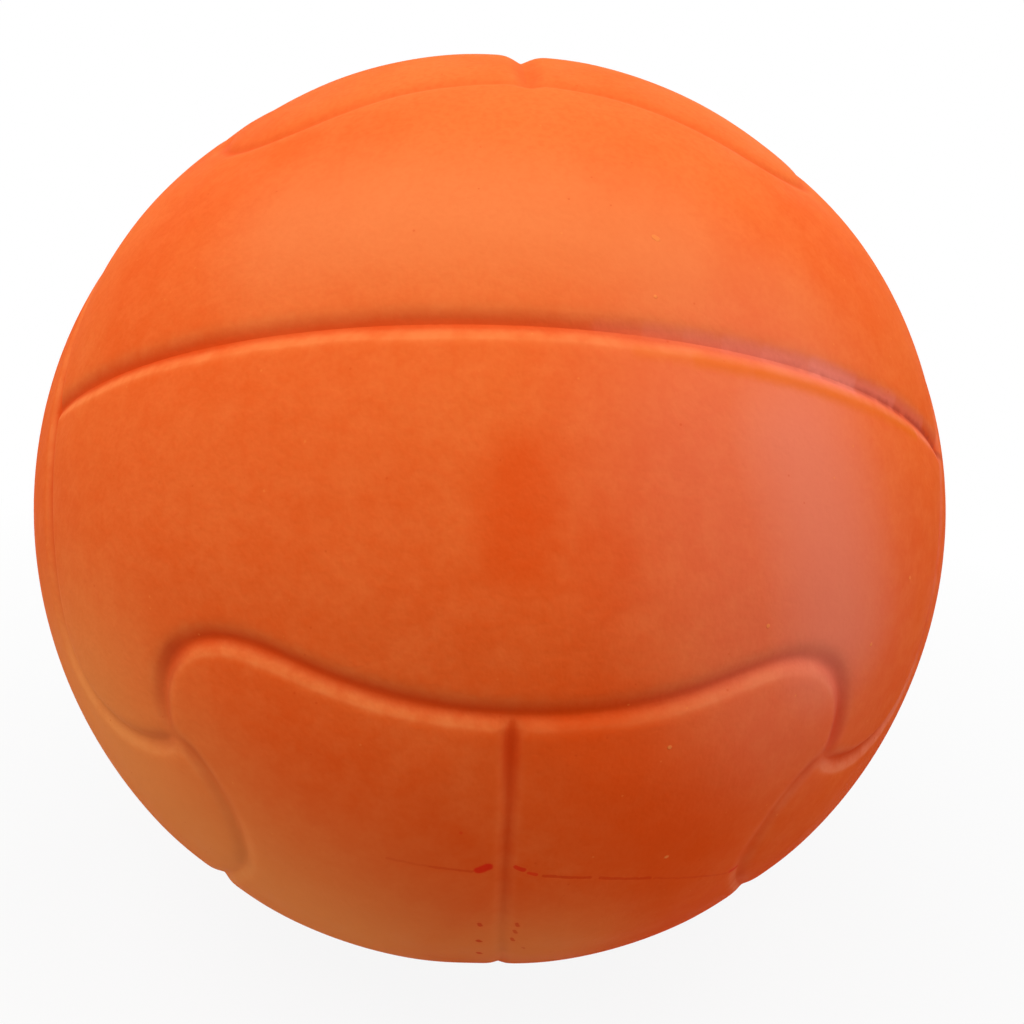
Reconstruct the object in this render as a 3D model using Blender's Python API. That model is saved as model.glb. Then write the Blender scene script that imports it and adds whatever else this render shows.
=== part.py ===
"""A moulded foam ball, 200 mm across, with a wavy panel pattern pressed into its skin.

The ball is cast in a two-part mould. Each half of the mould leaves one tough skin cup, and the
soft foam between the cups bonds them together. So the ball is three bodies:

    skin_upper_half   the skin cup of the upper half of the mould
    skin_lower_half   the same cup turned over
    foam_core         the soft filling

Metres, +Z up, with the origin at the ball's centre. The pattern's own axes run through the middles
of six faces. Each face holds two panels side by side, parted by a straight groove (a bar), and
each pair of faces meets in a wavy edge groove. The mould parts on the pattern's XY plane.
"""

import math

import bmesh
import bpy
import numpy as np
from mathutils import Vector
from mathutils.geometry import delaunay_2d_cdt

# Sizes in metres
DIAMETER = 0.200
GROOVE_DEPTH = 0.0016
GROOVE_SLOPE = 0.50             # how far a groove's side rises for its width
GROOVE_BOTTOM_ROUNDING = 0.0003
GROOVE_LIP_ROUNDING = 0.0009    # how far below and above the lip its rounding reaches
PANEL_CROWN = 0.0004            # how far a panel's middle stands above the rims of its grooves
CROWN_FADE = 0.009              # how far from a groove that rise reaches
SKIN_UNDER_GROOVE = 0.0018      # skin left under a groove's bottom
PARTING_GAP = 0.0003            # between the two skin cups
BOND_GAP = 0.0003               # between a skin cup and the foam

# How the ball lies: its front face is turned up from level
BALL_TILT = math.radians(30.0)

# The panel pattern, in degrees of arc over the ball
TEE_ANGLE = 33.0                # from a face's middle to the tee where the next face's bar ends
JUNCTION_SWING = 42.4           # where three edges meet: round the ball from the front axis
JUNCTION_RISE = 35.3            # and up from the parting plane
LOBE_ALONG = 25.2               # the top of a lobe: along the edge from its tee
LOBE_ACROSS = 29.4              # and from the middle of the face that it bulges into
LEAVING_TURN = 30.0             # how far an edge turns outward as it leaves a junction
LEAVING_PULL = 4.0              # how long it keeps that direction
LOBE_OUTER_ROUND = 9.4          # how broad the lobe's top is, on the side of the junction
LOBE_INNER_ROUND = 5.4          # and on the side of the tee
TEE_FLATNESS = 15.2             # how long the edge runs straight beside its tee

# How finely the skin is cut into flat facets
LOBE_STEPS = 9                  # from a junction to the top of a lobe
RUN_STEPS = 9                   # from a tee to the top of a lobe
BAR_STEPS = 11                  # from a tee to the middle of a bar
LOBE_CROWDING = 1.0             # how much closer the steps lie near a junction: 1 is evenly
TEE_CROWDING = 1.35             # and near a tee
PANEL_GRID_STEP = 7.5           # degrees between the points inside a panel
PANEL_GRID_CLEARANCE = 0.0035   # from those points to the end of a groove's lip
LIP_BEND_SHARE = 0.4            # where the row of points on a lip lies between its ends
LEAST_SPACING = 0.0008
INNER_QUARTER_STEPS = 12        # in a quarter turn of a cup's smooth inside, and of the foam
CURVE_REFINEMENT = 4            # how much finer the grooves are measured than cut
LENGTH_SAMPLES = 400

SKIN_COLOUR = (0.80, 0.13, 0.020, 1.0)
FOAM_COLOUR = (0.84, 0.25, 0.070, 1.0)

RADIUS = DIAMETER / 2
LIP_START = (GROOVE_DEPTH - GROOVE_LIP_ROUNDING) / GROOVE_SLOPE
LIP_END = (GROOVE_DEPTH + GROOVE_LIP_ROUNDING) / GROOVE_SLOPE
CUP_INNER_RADIUS = RADIUS - PANEL_CROWN - GROOVE_DEPTH - SKIN_UNDER_GROOVE
FOAM_RADIUS = CUP_INNER_RADIUS - BOND_GAP
ON_PLANE = 1e-4                 # of the radius: a point this near a mirror plane lies on it


def direction(swing, rise):
    """The unit vector at these degrees round from +Y towards +X, and up from the XY plane."""
    swing = math.radians(swing)
    rise = math.radians(rise)
    return np.array([math.cos(rise) * math.sin(swing), math.cos(rise) * math.cos(swing), math.sin(rise)])


def unit(vectors):
    """Each vector at a length of 1."""
    return vectors / np.linalg.norm(vectors, axis=-1, keepdims=True)


def on_ball(arcs):
    """Unit vectors for pairs of degrees: along an edge from its tee, and across it."""
    along = np.radians(arcs[..., 0])
    across = np.radians(arcs[..., 1])
    return np.stack(
        [np.sin(along), np.cos(along) * np.cos(across), np.cos(along) * np.sin(across)], axis=-1
    )


def bezier(corners, u):
    """Points of a cubic curve with these four corners."""
    u = np.asarray(u)[:, None]
    v = 1 - u
    return v**3 * corners[0] + 3 * v * v * u * corners[1] + 3 * v * u * u * corners[2] + u**3 * corners[3]


def edge_corners(junction):
    """The two cubic curves of half an edge, from its junction and from its tee to the lobe's top.

    The edge runs along the first axis. Its lobes bulge into the face round the second axis,
    and the bar of the face round the third axis ends in its tee.
    """
    start = np.degrees([math.asin(junction[0]), math.atan2(junction[2], junction[1])])
    turn = math.radians(LEAVING_TURN)
    leaving = start + LEAVING_PULL * np.array([math.sin(turn), -math.cos(turn)])
    lobe = np.array([LOBE_ALONG, LOBE_ACROSS])
    tee = np.array([0.0, TEE_ANGLE])
    from_junction = (start, leaving, lobe + [LOBE_OUTER_ROUND, 0.0], lobe)
    from_tee = (tee, tee + [TEE_FLATNESS, 0.0], lobe - [LOBE_INNER_ROUND, 0.0], lobe)
    return from_junction, from_tee


def traced(corners, steps, crowding):
    """Points and tangents of a curve on the ball, spaced by its length and crowded to its start."""
    u = np.linspace(0.0, 1.0, LENGTH_SAMPLES + 1)
    path = on_ball(bezier(corners, u))
    spans = path[1:] - path[:-1]
    lengths = np.concatenate([[0.0], np.cumsum(np.linalg.norm(spans, axis=1))])
    slopes = np.gradient(path, axis=0, edge_order=2)
    stations = lengths[-1] * np.linspace(0.0, 1.0, steps + 1) ** crowding
    points = np.stack([np.interp(stations, lengths, path[:, axis]) for axis in range(3)], axis=1)
    tangents = np.stack([np.interp(stations, lengths, slopes[:, axis]) for axis in range(3)], axis=1)
    return unit(points), unit(tangents)


def groove_lines(refinement=1):
    """The middle lines of the grooves in one octant, as pairs of points and tangents."""
    junction = direction(JUNCTION_SWING, JUNCTION_RISE)
    lines = []
    for turn in range(3):
        from_junction, from_tee = edge_corners(np.roll(junction, -turn))
        bar = [np.array([0.0, TEE_ANGLE + share * (90.0 - TEE_ANGLE)]) for share in (0, 1 / 3, 2 / 3, 1)]
        curves = (
            (from_junction, LOBE_STEPS, LOBE_CROWDING),
            (from_tee, RUN_STEPS, TEE_CROWDING),
            (bar, BAR_STEPS, TEE_CROWDING),
        )
        for corners, steps, crowding in curves:
            points, tangents = traced(corners, steps * refinement, crowding)
            lines.append((np.roll(points, turn, axis=1), np.roll(tangents, turn, axis=1)))
    return lines


def groove_distance(directions, lines):
    """How far each direction's point on the ball lies from the nearest groove's middle line."""
    folded = np.abs(directions)
    nearest = np.full(len(folded), math.inf)
    for points, _ in lines:
        span = points[1:] - points[:-1]
        reach = folded[:, None] - points[None, :-1]
        share = np.clip((reach * span).sum(axis=2) / (span * span).sum(axis=1), 0.0, 1.0)
        gap = np.linalg.norm(reach - share[..., None] * span, axis=2)
        nearest = np.minimum(nearest, gap.min(axis=1))
    return nearest * RADIUS


def groove_sink(distance):
    """How deep a groove is at this distance from its middle: sloping sides with rounded lips."""
    run = np.hypot(distance, GROOVE_BOTTOM_ROUNDING) - GROOVE_BOTTOM_ROUNDING
    side = GROOVE_DEPTH - GROOVE_SLOPE * run
    lip = np.maximum(side + GROOVE_LIP_ROUNDING, 0.0) ** 2 / (4.0 * GROOVE_LIP_ROUNDING)
    return np.where(side > GROOVE_LIP_ROUNDING, side, lip)


def surface_radius(directions, lines):
    """The ball's radius in each direction, with its grooves and crowned panels."""
    distance = groove_distance(directions, lines)
    fall = PANEL_CROWN * np.exp(-((distance / CROWN_FADE) ** 2))
    return RADIUS - groove_sink(distance) - fall


def beside(point, sideways, offset):
    """The point on the ball at this distance from another, measured over its surface."""
    angle = offset / RADIUS
    return math.cos(angle) * point + math.sin(angle) * sideways


def corner_points(point, leaving, offset):
    """Points at this distance from both neighbours of every pair of grooves that meet here."""
    first = leaving[0]
    second = np.cross(point, first)
    bearings = sorted(math.atan2(way @ second, way @ first) % math.tau for way in leaving)
    found = []
    for bearing, after in zip(bearings, bearings[1:] + [bearings[0] + math.tau]):
        half = (after - bearing) / 2
        middle = math.cos(bearing + half) * first + math.sin(bearing + half) * second
        found.append(beside(point, middle, offset / math.sin(half)))
    return found


class Octant:
    """Points on one octant of the ball, kept apart from each other and from their reflections."""

    def __init__(self):
        self.points = []

    def add(self, point, apart):
        """Keep this point if it lies in the octant and no closer than this to a kept one."""
        if (point < -ON_PLANE).any():
            return
        point = np.where(np.abs(point) < ON_PLANE, 0.0, point)
        if ((point > 0.0) & (point * RADIUS < apart / 2)).any():
            return
        if self.points:
            nearest = np.linalg.norm(np.array(self.points) - point, axis=1).min() * RADIUS
            if nearest < apart:
                return
        self.points.append(unit(point))


def add_groove_points(octant, lines, fine_lines):
    """Rows of points along each groove: its middle, and the start, the bend and the end of its lips."""
    offsets = [LIP_START, LIP_START + LIP_BEND_SHARE * (LIP_END - LIP_START), LIP_END]
    edges = [lines[index] for index in (0, 3, 6)]
    junction = edges[0][0][0]
    meetings = [(junction, [tangents[0] for _, tangents in edges])]
    for run, bar in ((1, 2), (4, 5), (7, 8)):
        along = lines[run][1][0]
        meetings.append((lines[run][0][0], [along, -along, lines[bar][1][0]]))
    octant.add(junction, LEAST_SPACING)
    for points, _ in lines:
        for point in points:
            octant.add(point, LEAST_SPACING)
    for offset in offsets:
        for point, leaving in meetings:
            for corner in corner_points(point, leaving, offset):
                octant.add(corner, LEAST_SPACING)
    for offset in offsets:
        for points, tangents in lines:
            for point, tangent in zip(points, tangents):
                sideways = np.cross(point, tangent)
                for side in (-1.0, 1.0):
                    row_point = beside(point, side * sideways, offset)
                    if groove_distance(row_point[None], fine_lines)[0] > offset - LEAST_SPACING / 4:
                        octant.add(row_point, LEAST_SPACING)


def add_panel_points(octant, fine_lines):
    """A square grid of points over each face, kept off the grooves."""
    steps = round(45.0 / PANEL_GRID_STEP)
    clearance = LIP_END + PANEL_GRID_CLEARANCE
    for turn in range(3):
        for row in range(steps + 1):
            for column in range(steps + 1):
                rise = math.tan(math.radians(45.0 * row / steps))
                swing = math.tan(math.radians(45.0 * column / steps))
                point = unit(np.roll([1.0, swing, rise], turn))
                if groove_distance(point[None], fine_lines)[0] > clearance:
                    octant.add(point, LEAST_SPACING)


def hemisphere_points():
    """Unit vectors over the upper half of the ball, reflected from one octant."""
    fine_lines = groove_lines(CURVE_REFINEMENT)
    octant = Octant()
    add_groove_points(octant, groove_lines(), fine_lines)
    add_panel_points(octant, fine_lines)
    points = []
    for point in octant.points:
        for x_side in (1.0, -1.0) if point[0] > 0.0 else (1.0,):
            for y_side in (1.0, -1.0) if point[1] > 0.0 else (1.0,):
                points.append(point * [x_side, y_side, 1.0])
    return np.array(points), fine_lines


def add_outer_surface(mesh):
    """The patterned outside of the upper cup. Its rim lies half a gap above the parting plane."""
    directions, fine_lines = hemisphere_points()
    flat = directions[:, :2] / (1.0 + directions[:, 2:])
    _, _, triangles, originals, _, _ = delaunay_2d_cdt([Vector(p) for p in flat], [], [], 0, 1e-9)
    places = directions * surface_radius(directions, fine_lines)[:, None]
    places[directions[:, 2] == 0.0, 2] = PARTING_GAP / 2
    corners = [mesh.verts.new(place) for place in places]
    for triangle in triangles:
        mesh.faces.new([corners[originals[index][0]] for index in triangle])


def add_smooth_ball(mesh, radius):
    """A plain ball, with a ring of points on the parting plane. Returns its points."""
    around = 4 * INNER_QUARTER_STEPS
    rings = 2 * INNER_QUARTER_STEPS
    return bmesh.ops.create_uvsphere(mesh, u_segments=around, v_segments=rings, radius=radius)["verts"]


def add_inner_surface(mesh):
    """The smooth inside of the upper cup."""
    ball = add_smooth_ball(mesh, CUP_INNER_RADIUS)
    nearly_level = ON_PLANE * RADIUS
    below = [vert for vert in ball if vert.co.z < -nearly_level]
    bmesh.ops.delete(mesh, geom=below, context="VERTS")
    for vert in ball:
        if vert.is_valid and vert.co.z < nearly_level:
            vert.co.z = PARTING_GAP / 2


def add_object(name, mesh, material, parent, turn=0.0):
    """Put a mesh in the scene under a name, turned about X in its parent's frame."""
    item = bpy.data.objects.new(name, mesh)
    if not mesh.materials:
        mesh.materials.append(material)
    item.parent = parent
    item.rotation_euler.x = turn
    bpy.context.collection.objects.link(item)
    return item


def make_material(name, colour, roughness):
    """A plain non-metal material of one colour."""
    material = bpy.data.materials.new(name)
    material.use_nodes = True
    shader = material.node_tree.nodes["Principled BSDF"]
    shader.inputs["Base Color"].default_value = colour
    shader.inputs["Roughness"].default_value = roughness
    shader.inputs["Metallic"].default_value = 0.0
    return material


def finish_mesh(mesh, name):
    """Turn a bmesh into a smooth-shaded mesh that keeps the creases of its grooves and rim."""
    data = bpy.data.meshes.new(name)
    bmesh.ops.recalc_face_normals(mesh, faces=mesh.faces)
    mesh.to_mesh(data)
    mesh.free()
    data.shade_smooth()
    data.set_sharp_from_angle(angle=math.radians(50.0))
    return data


def make_cup_mesh():
    """The upper skin cup: patterned outside, smooth inside, and a flat rim that joins them."""
    mesh = bmesh.new()
    add_outer_surface(mesh)
    add_inner_surface(mesh)
    rims = [edge for edge in mesh.edges if edge.is_boundary]
    bmesh.ops.triangle_fill(mesh, edges=rims, use_beauty=True)
    return finish_mesh(mesh, "skin_cup")


def make_foam_mesh():
    """The foam filling: a plain ball that fills the cups."""
    mesh = bmesh.new()
    add_smooth_ball(mesh, FOAM_RADIUS)
    return finish_mesh(mesh, "foam")


def build():
    """Model the whole ball."""
    for item in list(bpy.data.objects):
        bpy.data.objects.remove(item)
    pattern = bpy.data.objects.new("pattern_axes", None)
    pattern.rotation_euler.x = -BALL_TILT
    bpy.context.collection.objects.link(pattern)
    skin = make_material("moulded_skin", SKIN_COLOUR, 0.5)
    foam = make_material("soft_foam", FOAM_COLOUR, 0.9)
    cup = make_cup_mesh()
    add_object("skin_upper_half", cup, skin, pattern)
    add_object("skin_lower_half", cup, skin, pattern, turn=math.pi)
    add_object("foam_core", make_foam_mesh(), foam, pattern)


build()
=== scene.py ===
"""The looks of a moulded foam ball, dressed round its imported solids.

Metres, +Z up, with the origin at the ball's centre. The panel pattern has its own axes, turned
about X from the frame, and the mould parts on their XY plane. Each face of the pattern holds two
panels side by side, parted by a straight groove (a bar), and each pair of faces meets in a wavy
edge groove. Both skin cups are made as fine closed meshes round a foam filling.
"""

import math

import bmesh
import bpy
import numpy as np
from mathutils import Matrix, Vector, kdtree, noise
from mathutils.geometry import delaunay_2d_cdt


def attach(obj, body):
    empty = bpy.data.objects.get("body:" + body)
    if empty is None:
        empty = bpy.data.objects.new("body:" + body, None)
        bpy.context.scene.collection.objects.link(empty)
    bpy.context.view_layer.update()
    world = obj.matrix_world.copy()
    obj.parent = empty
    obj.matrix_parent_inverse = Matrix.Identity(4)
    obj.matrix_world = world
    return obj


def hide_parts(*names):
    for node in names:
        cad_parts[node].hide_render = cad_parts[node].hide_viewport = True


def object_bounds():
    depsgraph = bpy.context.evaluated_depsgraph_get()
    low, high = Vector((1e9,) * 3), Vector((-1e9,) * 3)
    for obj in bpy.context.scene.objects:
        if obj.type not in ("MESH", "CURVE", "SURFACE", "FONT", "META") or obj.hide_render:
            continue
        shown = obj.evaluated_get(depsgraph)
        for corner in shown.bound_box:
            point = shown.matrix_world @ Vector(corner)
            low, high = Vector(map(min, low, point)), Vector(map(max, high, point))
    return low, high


# The ball, in metres, as in the solids
RADIUS = 0.100
GROOVE_DEPTH = 0.0016
GROOVE_SLOPE = 0.50
GROOVE_BOTTOM_ROUNDING = 0.0003
GROOVE_LIP_ROUNDING = 0.0009
PANEL_CROWN = 0.0004
CROWN_FADE = 0.009
SKIN_UNDER_GROOVE = 0.0018
BOND_GAP = 0.0003
BALL_TILT = math.radians(30.0)
CUP_INNER_RADIUS = RADIUS - PANEL_CROWN - GROOVE_DEPTH - SKIN_UNDER_GROOVE
FOAM_RADIUS = CUP_INNER_RADIUS - BOND_GAP

# The panel pattern, in degrees of arc over the ball, as in the solids
TEE_ANGLE = 33.0
JUNCTION_SWING = 42.4
JUNCTION_RISE = 35.3
LOBE_ALONG = 25.2
LOBE_ACROSS = 29.4
LEAVING_TURN = 30.0
LEAVING_PULL = 4.0
LOBE_OUTER_ROUND = 9.4
LOBE_INNER_ROUND = 5.4
TEE_FLATNESS = 15.2

# How the visible skin departs from the plain pattern: in metres, or in what the note says
CORNER_ROUNDING = 0.0004        # how much one groove's lip is rounded into the next one's
JUNCTION_DEPTH = 0.55           # share of a groove's depth that is left where three meet
JUNCTION_FADE = 0.0035          # how far from there a groove is shallower
LOWER_BAR_DEPTH = 0.50          # share of its depth that the bar underneath keeps at the bottom
GROOVE_NARROWING = 1.25         # how much narrower the grooves are than in the solids
GROOVE_SHARE = 0.74             # share of their depth that they keep, except the bar over the top
LOWER_BAR_NARROWING = 1.35      # how much narrower again the lower bar is
LOWER_BAR_TURNS = (33.0, 47.0, 61.0, 74.0, 100.0, 147.0)    # degrees along it, front to back
LOWER_BAR_SHIFTS = (-0.0009, 0.0, 0.0011, 0.0030, 0.0030, 0.0)  # how far it lies towards +X there
HIGH_EDGE_DEPTH = 0.68          # share of its depth that an edge groove keeps over the ball's top
HIGH_EDGE_RISE = (0.45, 0.75)   # from this height to this one, in ball radii, it loses the rest
LOWER_EDGE_DEPTHS = (0.80, 0.55)    # shares kept by the grooves beside the lower panel, -X and +X
LOWER_EDGE_CHANGE = 0.15        # they change over this much of X to either side, in ball radii
GROOVE_WOBBLE = 0.00022         # how far a groove's side strays from its line
WOBBLE_LENGTH = 0.011
WOBBLE_SEED = 3.0
DEPTH_VARIATION = 0.12          # share by which a groove's depth changes along it
DEPTH_LENGTH = 0.035
DEPTH_SEED = 7.0
PANEL_SAG = 0.00018             # the deepest of the panels' shallow dips
SAG_LENGTH = 0.045
SAG_SEED = 11.0
PARTING_GAP = 0.00001           # between the two skin cups, which touch on the real ball
FOAM_UNEVENNESS = 0.004         # share of its radius by which the foam's surface dips
FOAM_DIP_LENGTH = 0.006

# Where some grooves stand among the six that groove_distances measures
EDGES = slice(0, None, 2)       # the three wavy edges, each followed by a bar
MIDDLE_BAR = 1                  # over the ball's top in the upper cup, underneath in the lower one
PANEL_EDGE = 2                  # beside the lower panel in the lower cup

# How finely the skin is meshed: lengths in metres, and counts
COLUMN_STEP = 0.0014
ROW_STEP = 0.0005
ROW_COUNT = 11                  # rows up to the end of a groove's lip
OUTER_ROWS = (0.0060, 0.0072, 0.0088)
PANEL_STEP = 0.0022
LEAST_SPACING = 0.00036
FINE_STEP = 0.0007              # between the points that a groove is measured by
LENGTH_SAMPLES = 400
ON_PLANE = 1e-4                 # of the radius: a point this near a mirror plane lies on it
SAME_POINT = 1e-9               # points nearer than this are one point to the triangulation
INNER_QUARTER_STEPS = 24
FOAM_SUBDIVISIONS = 5
SHARP_ANGLE = math.radians(60.0)    # edges sharper than this aren't smoothed over
DISTANCE_BATCH = 2000

# The photograph's frame and its lens, in pixels
FRAME_PIXELS = 1024
BALL_CENTRE_PIXEL = (490.22, 508.96)
FOCAL_PIXELS = 964.7
SENSOR_MM = 36.0                # the sensor's width, in millimetres
CLIP_START = 0.01               # in metres from the lens, where the picture begins

# Where the camera stands: in ball radii from the centre, and in degrees
CAMERA_DISTANCE = 2.334 * RADIUS
CAMERA_AZIMUTH = math.radians(-3.32)
CAMERA_ELEVATION = math.radians(14.34)
CAMERA_ROLL = math.radians(3.23)

PATTERN_TO_FRAME = Matrix.Rotation(-BALL_TILT, 4, "X")

# The skin's colours
# Painted light: the top colour is yellower as a painted sheen from the light above, and the colour
# underneath is redder as painted shade
SKIN_TOP_SHEEN_COLOUR = (0.87, 0.180, 0.038, 1.0)
SKIN_UNDER_SHADE_COLOUR = (0.81, 0.070, 0.003, 1.0)
SKIN_PALE_COLOUR = (0.91, 0.185, 0.042, 1.0)
SKIN_DEEP_COLOUR = (0.79, 0.062, 0.002, 1.0)
# Painted shade deep in the grooves; the skin's real tiny pits take the same colour
GROOVE_SHADE_AND_PIT_COLOUR = (0.70, 0.046, 0.003, 1.0)
FINE_MARK_COLOUR = (0.68, 0.026, 0.002, 1.0)
RED_MARK_COLOUR = (0.80, 0.024, 0.005, 1.0)
PALE_BUMP_COLOUR = (0.92, 0.270, 0.060, 1.0)
# Painted highlight on the grooves' up-facing lips, pinker towards +X as a painted reflection of cool
# light
LIP_HIGHLIGHT_COLOUR = (0.93, 0.290, 0.085, 1.0)
PINK_LIP_HIGHLIGHT_COLOUR = (0.90, 0.290, 0.180, 1.0)
SEAM_COLOUR = (0.44, 0.055, 0.030, 1.0)
# Painted shade along some grooves' walls
GROOVE_SHADE_MARK_COLOUR = (0.62, 0.034, 0.003, 1.0)
# Painted reflection of a cool window on the right side
WINDOW_REFLECTION_COLOUR = (0.84, 0.220, 0.135, 1.0)
# Painted glint of cool window light in a groove
GROOVE_GLINT_COLOUR = (0.94, 0.270, 0.200, 1.0)
GOLD_LIP_COLOUR = (0.77, 0.135, 0.006, 1.0)
# Painted bounce light from a pale floor
BOUNCE_LIGHT_COLOUR = (0.92, 0.355, 0.095, 1.0)
# Painted sheen across the upper strip
UPPER_SHEEN_COLOUR = (0.88, 0.270, 0.090, 1.0)

# The foam's, the floor's and the surround's colours
FOAM_DEEP_COLOUR = (0.70, 0.16, 0.035, 1.0)
FOAM_PALE_COLOUR = (0.90, 0.32, 0.10, 1.0)
FLOOR_COLOUR = (0.50, 0.50, 0.50, 1.0)
SURROUND_LIGHT = (0.09, 0.09, 0.09, 1.0)
WHITE = (1.0, 1.0, 1.0, 1.0)

# How the skin's shades set in. Each goes from 0 to 1, or from the third number to the fourth,
# while what it follows goes from the first to the second: a height or a place in metres, a share
# of a groove's depth, an upward tilt, or a noise's or a cell's number from 0 to 1
UNDER_SHADE_TO_TOP_SHEEN = (-0.09, 0.09)
CLOUDS = (0.36, 0.66, 0.0, 0.34)
PATCHES = (0.40, 0.66, 0.0, 0.32)
PATCHES_BY_HEIGHT = (-0.060, 0.010, 0.35, 1.0)
MOTTLE = (0.40, 0.70, 0.0, 0.16)
PAINTED_GROOVE_SHADE = (0.14, 0.60, 0.0, 0.70)
PAINTED_GROOVE_SHADE_BY_HEIGHT = (0.065, 0.096, 1.0, 0.15)
GROOVE_SHADE_MARK_DEPTH = (0.09, 0.34)
LIP_BEGINS = (0.07, 0.16)
LIP_ENDS = (0.72, 0.34)
LIP_NEAR_TOP = (0.050, 0.075, 1.0, 0.15)
LIP_UNDERNEATH = (-0.080, -0.062, 0.20, 1.0)
LIP_FACING_UP = (0.03, 0.20, 0.10, 0.44)
LIP_IN_PATCHES = (0.30, 0.58, 0.45, 1.0)
PINK_TO_THE_RIGHT = (0.02, 0.08)
PINK_AT_THE_FRONT = (0.02, -0.03)
PARTING_TO_THE_RIGHT = (0.025, 0.065)
PARTING_AT_THE_FRONT = (-0.050, -0.030, 1.0, 0.0)
PARTING_BREAKS = (0.38, 0.55, 0.25, 1.0)
PIT_CELLS = (0.56, 0.60)
PALE_SPECK_CELLS = (0.40, 0.36)
ROUGHNESS = (0.3, 0.7, 0.62, 0.74)

# How long the skin's clouds, patches and other features are, in metres
CLOUD_LENGTH = 0.032
PATCH_LENGTH = 0.0045
MOTTLE_LENGTH = 0.0011
PARTING_BREAK_LENGTH = 0.004
GLOSS_LENGTH = 0.010

# The skin's gloss, and how strong its specks and the parting line are
SPECULAR_LEVEL = 0.01
SPECK_STRENGTH = 0.35
SEAM_STRENGTH = 0.60

# The skin's fine relief: how long its features are in metres, the noise's detail, and its height
# in millimetres
SKIN_RELIEF = (
    (0.0075, 0.0, 0.10),
    (0.0011, 1.0, 0.075),
    (0.00035, 0.0, 0.012),
)
PALE_BUMP_HEIGHT = 0.14
MILLIMETRE = 0.001

# The foam's cells: how many in a metre, how deep in metres, and how rough
FOAM_CELLS_PER_METRE = 900.0
FOAM_CELL_DEPTH = 0.0003
FOAM_ROUGHNESS = 0.95

# The skin's marks by their pixels in the photograph: both ends, half width and strength. An edge
# says at which shares of its half width a mark begins to fade and has gone
CRISP_EDGE = (0.65, 1.25)
SOFT_EDGE = (0.05, 1.60)
# Painted reflection of a cool window on the right side
WINDOW_REFLECTION = (
    ((765, 440), (815, 640), 180, 0.36),
    ((802, 440), (838, 635), 110, 0.70),
)
# Painted glint of cool window light on the divider groove's wall towards +X
GROOVE_WINDOW_GLINT = (
    ((600, 322), (650, 326), 7, 0.10),
    ((650, 326), (690, 332), 8, 0.20),
    ((690, 332), (730, 341), 8, 0.30),
    ((730, 341), (770, 351), 9, 0.40),
    ((770, 351), (819, 365), 9, 0.50),
    ((819, 365), (860, 383), 10, 0.75),
    ((860, 383), (900, 401), 9, 0.45),
    ((900, 401), (928, 424), 8, 0.25),
)
GOLD_LIP = (
    ((640, 350), (700, 359), 8, 0.35),
    ((700, 359), (760, 371), 9, 0.60),
    ((760, 371), (840, 395), 9, 0.70),
    ((840, 395), (918, 432), 9, 0.65),
)
# Painted bounce light from a pale floor on the lower left and the bottom
BOUNCE_LIGHT_PATCHES = (
    ((102, 733), (330, 929), 170, 0.62),
    ((330, 929), (520, 953), 110, 0.45),
)
# Painted sheen from the light above, across the upper strip
UPPER_SHEEN_PATCHES = (
    ((300, 225), (660, 240), 95, 0.42),
    ((660, 240), (790, 290), 50, 0.20),
)
# Soft patches of deeper orange
SOFT_DARK_PATCHES = (
    ((522, 470), (516, 545), 42, 0.50),
    ((610, 560), (600, 600), 36, 0.25),
    ((590, 740), (690, 850), 90, 0.60),
)
# Painted shade: dark bands along the walls of some grooves, where shade falls
GROOVE_SHADE_MARKS = (
    ((62, 600), (105, 700), 20, 0.60),
    ((105, 700), (170, 748), 20, 0.75),
    ((166, 655), (166, 722), 20, 0.65),
    ((182, 755), (236, 862), 24, 0.70),
    ((840, 660), (838, 742), 20, 0.65),
    ((818, 772), (756, 870), 20, 0.50),
    ((509, 745), (506, 955), 16, 0.60),
)
FINE_MARKS = (
    ((387, 859), (430, 868), 1.9, 0.22),
    ((430, 868), (472, 874), 2.1, 0.38),
    ((545, 878), (590, 879), 2.4, 0.55),
    ((601, 879), (650, 879), 2.4, 0.50),
    ((655, 879), (700, 878), 1.8, 0.28),
    ((700, 878), (728, 876), 1.8, 0.28),
    ((479, 927), (480, 929), 2.5, 0.70),
    ((478, 944), (480, 945), 2.9, 0.75),
    ((478, 956), (480, 957), 2.7, 0.75),
    ((517, 927), (518, 929), 2.2, 0.60),
    ((515, 934), (516, 936), 2.2, 0.55),
    ((512, 942), (513, 944), 2.2, 0.60),
    ((523, 950), (524, 951), 1.8, 0.35),
)
RED_MARKS = (
    ((479, 873), (488, 870), 5.6, 0.95),
    ((516, 871), (524, 873), 3.0, 0.80),
    ((530, 876), (536, 877), 2.6, 0.70),
    ((733, 874), (739, 872), 3.4, 0.70),
    ((461, 835), (461, 835), 2.2, 0.40),
)
PALE_BUMPS = (
    ((667, 858), (667, 858), 2.4, 0.70),
    ((671, 749), (671, 749), 2.4, 0.70),
    ((770, 627), (770, 627), 2.2, 0.60),
    ((911, 578), (911, 578), 2.0, 0.60),
    ((873, 645), (873, 645), 2.0, 0.60),
    ((657, 295), (657, 295), 2.0, 0.60),
    ((655, 236), (658, 238), 3.0, 0.60),
)

# The rough line where the mould's halves met: in metres, and the share of it that is full
PARTING_HALF_WIDTH = 0.00095
PARTING_CORE = 0.3

# How far the marks' edges stray and over what length, and the specks' spacing and size, in metres
RAGGED_STRAY = 0.00024
RAGGED_LENGTH = 0.0014
SPECK_SPACING = 0.0036
SPECK_RADIUS = 0.00026
SPECK_CORE = 0.5                # share of a speck's radius that is full

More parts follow.
